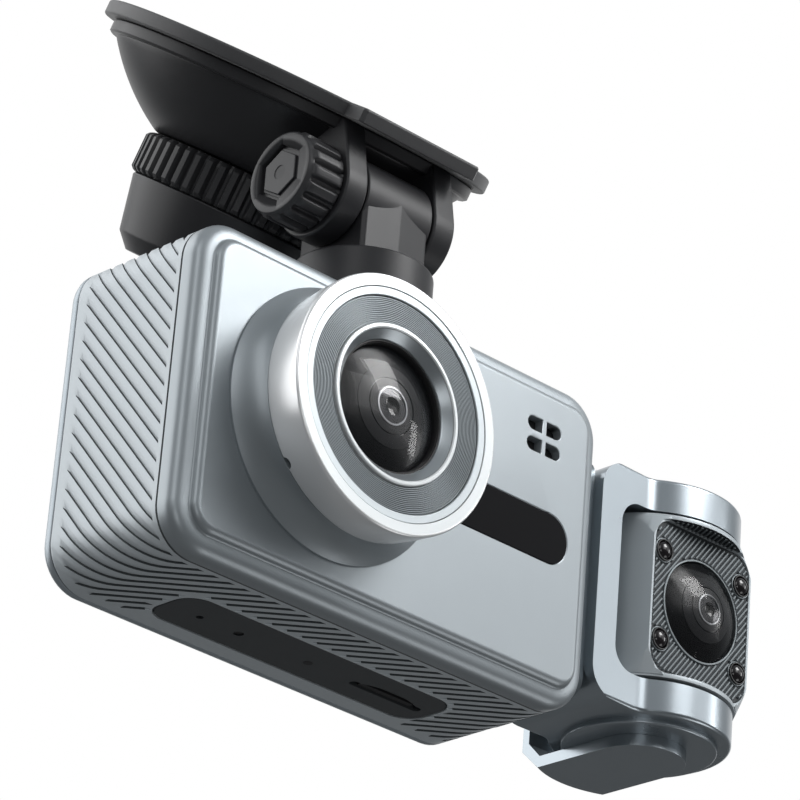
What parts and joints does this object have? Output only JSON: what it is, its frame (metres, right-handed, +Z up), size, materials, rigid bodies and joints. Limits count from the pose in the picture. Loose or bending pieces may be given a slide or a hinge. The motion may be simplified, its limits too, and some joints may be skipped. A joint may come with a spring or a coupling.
{
  "type": "dash camera",
  "caption": "Windscreen dash camera with a twist-lock suction mount, a tilting neck, a large ringed front lens and a swivelling cabin camera in a side yoke.",
  "frame": {"origin": "centre of the suction disc's face, which sticks to the windscreen", "axes": "+Z is up, -Y is the way the front lens looks, +X points to the side that carries the cabin camera; the windscreen face looks up and forwards, tilted 32 degrees from level"},
  "size_m": [0.126, 0.0768, 0.1201],
  "materials": {
    "soft_disc": "soft, faint sheen",
    "mount_black": "satin moulded black",
    "knob_black": "satin moulded black, ribbed",
    "steel": "plated",
    "brass": "turned",
    "case_silver": "blue-grey metallic satin paint",
    "band_silver": "blue-grey metallic satin paint with engraved grooves",
    "bezel_grey": "fine texture",
    "bright_ring": "polished",
    "rim_silver": "turned, bright",
    "groove_grey": "fine concentric grooves",
    "lens_black": "matt black",
    "lens_glass": "coated",
    "screen_glass": "clear cover over a dark screen",
    "screen": "dark display",
    "plate_black": "mirror gloss",
    "panel_dark": "satin",
    "board_green": "solder mask",
    "cell_wrap": "shrink wrap",
    "can_metal": "tinned sheet",
    "clear_light": "milky light guide",
    "nylon": "natural nylon",
    "card_black": "moulded",
    "arm_silver": "blue-grey metallic satin paint",
    "head_grey": "dark grey satin",
    "face_grey": "fine diagonal ribs",
    "lamp_dark": "clear dark lamp"
  },
  "bodies": {
    "mount": {"suction_disc": "soft_disc", "pull_stud": "steel", "stud_stop": "steel", "cup_housing": "mount_black", "hinge_nut": "steel"},
    "lock_knob": {"lock_collar": "knob_black", "knob_insert": "brass", "knob_cap": "mount_black"},
    "thumb_screw": {"thumb_knob": "knob_black", "hinge_bolt": "steel"},
    "neck": {"neck": "mount_black", "swivel_washer": "steel", "swivel_screw": "steel"},
    "camera": {"turret_base": "mount_black", "front_case": "case_silver", "side_band": "band_silver", "rear_bezel": "bezel_grey", "screen_glass": "screen_glass", "lcd_panel": "screen", "case_screws": "steel", "main_board": "board_green", "chip_shield": "can_metal", "battery": "cell_wrap", "speaker": "lens_black", "speaker_mesh": "lens_black", "name_plate": "plate_black", "port_panel": "panel_dark", "microphone": "can_metal", "status_light": "clear_light", "tact_switches": "can_metal", "card_socket": "can_metal", "usb_port": "can_metal", "lens_base": "case_silver", "lens_housing": "lens_black", "chrome_ring": "bright_ring", "rim_ring": "rim_silver", "grooved_ring": "groove_grey", "inner_ring": "rim_silver", "lens_hood": "lens_black", "front_glass": "lens_glass", "lens_barrel": "lens_black", "inner_lens": "lens_glass", "lens_holder": "lens_black", "sensor_board": "board_green", "side_link": "arm_silver", "side_yoke": "arm_silver", "yoke_discs": "arm_silver", "strap_bracket": "arm_silver", "pivot_screws": "steel"},
    "head": {"friction_washers": "nylon", "head_shell": "head_grey", "head_cover": "head_grey", "head_faceplate": "face_grey", "infrared_lamps": "lamp_dark", "side_glass": "lens_glass", "side_barrel": "lens_black", "side_sensor_board": "board_green"},
    "reset_key": {"reset_button": "lens_black"},
    "power_key": {"power_button": "panel_dark"},
    "card": {"memory_card": "card_black"}
  },
  "joints": [
    {"name": "cup_lock", "type": "hinge", "parent": "mount", "child": "lock_knob", "pos_m": [0, 0.0106, -0.01696], "axis": [0, -0.5299, 0.848], "range_deg": [-75, 0]},
    {"name": "thumb_turn", "type": "hinge", "parent": "mount", "child": "thumb_screw", "pos_m": [0, -0.01892, -0.02916], "axis": [1, 0, 0], "continuous": true},
    {"name": "tilt", "type": "hinge", "parent": "mount", "child": "neck", "pos_m": [0, -0.01892, -0.02916], "axis": [1, 0, 0], "range_deg": [-60, 25]},
    {"name": "swivel", "type": "hinge", "parent": "neck", "child": "camera", "pos_m": [0, -0.01892, -0.04916], "axis": [0, 0, 1], "range_deg": [-90, 90]},
    {"name": "head_swivel", "type": "hinge", "parent": "camera", "child": "head", "pos_m": [0.0685, -0.01762, -0.07546], "axis": [0, 0, 1], "range_deg": [-20, 180]},
    {"name": "reset_press", "type": "slide", "parent": "camera", "child": "reset_key", "axis": [0, 0, 1], "range_m": [0, 0.0005], "stiffness_N_per_m": 150},
    {"name": "power_press", "type": "slide", "parent": "camera", "child": "power_key", "axis": [0, 0, -1], "range_m": [0, 0.0005], "stiffness_N_per_m": 300},
    {"name": "card_slide", "type": "slide", "parent": "camera", "child": "card", "axis": [0, 0, -1], "range_m": [0, 0.014]}
  ]
}
